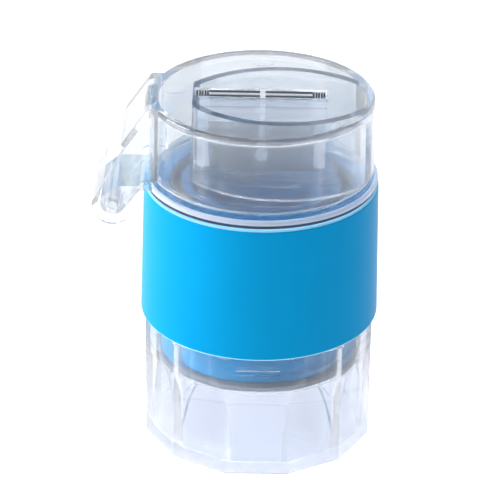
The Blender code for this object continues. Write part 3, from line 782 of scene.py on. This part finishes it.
# %% Blade holder
WEB_HALF, GROOVE_HALF = 0.45 * MM, BLADE_T / 2 + 0.3 * MM
STAKE_HALF_Y, POST_HALF_Y, BRIDGE_X = SLOT_HALF_Y - 0.3 * MM, 1.2 * MM, 0.6 * MM
holder_top = holder_high.z
POST_IN, POST_OUT, POST_LOW = 10.9 * MM, 13.2 * MM, holder_low.z
PEG_LOW, PEG_HALF, PEG_TIP_R = 65.4 * MM, 0.6 * MM, 1.3 * MM
STAKE = 2.8 * MM
stake_left, stake_right = SLOT_LEFT + 0.3 * MM, SLOT_RIGHT - 0.3 * MM
holder = slab("clear_blade_holder", (-POST_IN - MM, -WEB_HALF, blade_high.z),
              (POST_IN + MM, WEB_HALF, holder_top - 0.05 * MM), material=clear_holder)
in_slot = [(stake_left, stake_left + STAKE), (-BRIDGE_X, BRIDGE_X),
           (stake_right - STAKE, stake_right)]
for low_x, high_x in in_slot:
    carve(holder, slab("in_slot", (low_x, -STAKE_HALF_Y, CAVITY_TOP + 0.1 * MM),
                       (high_x, STAKE_HALF_Y, holder_top), 0.15 * MM), "UNION")
for low_x, high_x in ((-POST_OUT, -POST_IN), (POST_IN, POST_OUT)):
    carve(holder, slab("post", (low_x, -POST_HALF_Y, POST_LOW),
                       (high_x, POST_HALF_Y, CAVITY_TOP + 0.5 * MM), 0.15 * MM), "UNION")
# The rails are dark strips of painted shade in the gaps beside the web.
RAIL_Y, RAIL_HALF = 1.2 * MM, 0.62 * MM
for side in (-1, 1):
    for low_x, high_x in ((stake_left + STAKE - 0.1 * MM, -BRIDGE_X + 0.1 * MM),
                          (BRIDGE_X - 0.1 * MM, stake_right - STAKE + 0.1 * MM)):
        carve(holder, slab("rail", (low_x, side * RAIL_Y - RAIL_HALF, CAVITY_TOP + 0.3 * MM),
                           (high_x, side * RAIL_Y + RAIL_HALF, holder_top - 0.15 * MM)), "UNION")
peg = slab("peg", (-PEG_HALF, -POST_HALF_Y, PEG_LOW),
           (PEG_HALF, -GROOVE_HALF, CAVITY_TOP + 0.5 * MM))
carve(holder, peg, "UNION")
tip = pushed("tip", [(x, -POST_HALF_Y, z) for x, z in
                     arc_points(0, PEG_LOW, PEG_TIP_R, 0, 348, 29)],
             (0, POST_HALF_Y - GROOVE_HALF, 0))
carve(holder, tip, "UNION")
slit = slab("slit", (blade_low.x - 0.3 * MM, -GROOVE_HALF, POST_LOW - MM),
            (blade_high.x + 0.3 * MM, GROOVE_HALF, blade_high.z + 0.3 * MM))
carve(holder, slit, "DIFFERENCE")
for start in (stake_left, stake_right - STAKE):
    for k in range(5):
        x = start + STAKE * (k + 0.5) / 5
        notch = pushed("notch", [(x - 0.25 * MM, -2 * MM, holder_top + 0.1 * MM),
                                 (x + 0.25 * MM, -2 * MM, holder_top + 0.1 * MM),
                                 (x + (k % 2 - 0.5) * 0.2 * MM, -2 * MM, holder_top - 0.45 * MM)],
                       (0, 4 * MM, 0))
        carve(holder, notch, "DIFFERENCE")
holder.data.materials.append(painted_slot_shade)
# Rail tops and the sides of the teeth take the painted slot shade.
for face in holder.data.polygons:
    on_rail = abs(abs(face.center.y) - RAIL_Y) < RAIL_HALF + 0.05 * MM
    between = BRIDGE_X < abs(face.center.x) < stake_right - STAKE
    in_notch = (abs(face.normal.x) > 0.5 and abs(face.center.x) > stake_right - STAKE
                and face.center.z > holder_top - 0.45 * MM)
    on_slot_shade = on_rail and between and face.center.z > CAVITY_TOP + 0.2 * MM
    if on_slot_shade or in_notch:
        face.material_index = 1
print("painted slot shade faces", sum(face.material_index for face in holder.data.polygons))
place(polish(holder), "lid", "blade_holder", slot="clear_plastic")

# %% [markdown]
# ## Table and light
# A white light table runs out past the view and glows a little. Clear plastic is only seen by what it
# bends, so the sky is bright behind the object and darker in front, with a brighter band at the
# horizon: that is what draws the edges. The strongest soft box stands at the left.

# %% Table
bm = bmesh.new()
bmesh.ops.create_grid(bm, x_segments=1, y_segments=1, size=1.5)
floor = as_object("table_top", bm, None)
floor.location.z = -0.02 * MM
table_white, tree = empty_material("table_white_laminate")
spot = add_node(tree, "ShaderNodeTexCoord").outputs["Object"]
speck = add_node(tree, "ShaderNodeTexNoise", links={"Vector": spot}, Scale=1 / (30 * MM), Detail=2.0)
tone = add_node(tree, "ShaderNodeMapRange", links={"Value": speck.outputs["Fac"]})
tone.inputs["To Min"].default_value, tone.inputs["To Max"].default_value = 0.42, 0.46
laminate = add_node(tree, "ShaderNodeBsdfPrincipled", links={"Base Color": tone.outputs["Result"]},
                    Roughness=0.9, Emission_Color=linear("FFFFFF"), Emission_Strength=0.80)
add_node(tree, "ShaderNodeOutputMaterial", links={"Surface": laminate.outputs["BSDF"]})
floor.data.materials.append(table_white)

# %% Sky
world = bpy.data.worlds.new("studio_sky")
bpy.context.scene.world = world
world.use_nodes = True
tree = world.node_tree
tree.nodes.clear()
direction = add_node(tree, "ShaderNodeTexCoord").outputs["Generated"]
slope = add_node(tree, "ShaderNodeVectorMath", {"operation": "DOT_PRODUCT"})
tree.links.new(direction, slope.inputs[0])
slope.inputs[1].default_value = (-0.12, 0.85, 0.25)
behind = add_node(tree, "ShaderNodeMapRange", links={"Value": slope.outputs["Value"]})
behind.inputs["From Min"].default_value, behind.inputs["From Max"].default_value = -0.6, 0.55
behind.inputs["To Min"].default_value, behind.inputs["To Max"].default_value = 0.14, 0.55
up = add_node(tree, "ShaderNodeSeparateXYZ", links={"Vector": direction}).outputs["Z"]
glow = add_node(tree, "ShaderNodeMapRange", links={"Value": up})
glow.inputs["From Min"].default_value, glow.inputs["From Max"].default_value = 0.22, 0.02
glow.inputs["To Min"].default_value, glow.inputs["To Max"].default_value = 0.0, 0.45
total = maths(tree, "ADD", behind.outputs["Result"], glow.outputs["Result"])
sky = add_node(tree, "ShaderNodeBackground", links={"Strength": total},
               Color=linear("F6F8FF"))
add_node(tree, "ShaderNodeOutputWorld", links={"Surface": sky.outputs["Background"]})


# %% Lamps
def soft_box(name, place_at, aim, size, power, colour):
    lamp = bpy.data.lights.new(name, "AREA")
    lamp.shape, lamp.size, lamp.size_y = "RECTANGLE", *size
    lamp.energy = power
    lamp.color = linear(colour)[:3]
    box = bpy.data.objects.new(name, lamp)
    box.location = place_at
    box.rotation_euler = (Vector(aim) - Vector(place_at)).to_track_quat("-Z", "Y").to_euler()
    bpy.context.collection.objects.link(box)
    return box


middle = (0, 0, 0.04)
soft_box("key_softbox", (-0.45, -0.35, 0.40), middle, (0.4, 0.4), 1.5, "FFFFFF")
soft_box("left_softbox", (-0.60, 0.02, 0.20), middle, (0.3, 0.4), 4.3, "FFFFFF")
soft_box("fill_softbox", (0.5, -0.3, 0.35), middle, (0.3, 0.4), 0.3, "F4F8FF")
soft_box("top_softbox", (0.0, 0.25, 0.7), middle, (0.6, 0.4), 1.6, "FFFFFF")

# %% [markdown]
# ## Camera
# A long lens from a little above the front, as for a product shot. The long lens keeps the walls
# almost parallel. The picture leans by one degree.

# %% Camera
DISTANCE, ELEVATION, ROLL = 0.569, math.radians(27.6), math.radians(1.07)
target = Vector((0, 0, 38 * MM))
lens = bpy.data.cameras.new("product_camera")
lens.sensor_width = 36.0
lens.lens = 189.0
lens.shift_x, lens.shift_y = -0.0193, 0.03
lens.clip_start, lens.clip_end = 0.05, 10.0
camera = bpy.data.objects.new("product_camera", lens)
camera.location = target + DISTANCE * Vector((0, -math.cos(ELEVATION), math.sin(ELEVATION)))
look = (target - camera.location).to_track_quat("-Z", "Y").to_matrix()
camera.rotation_euler = (look @ Matrix.Rotation(ROLL, 3, "Z")).to_euler()
bpy.context.collection.objects.link(camera)
bpy.context.scene.camera = camera
bpy.context.scene.view_settings.view_transform = "Standard"
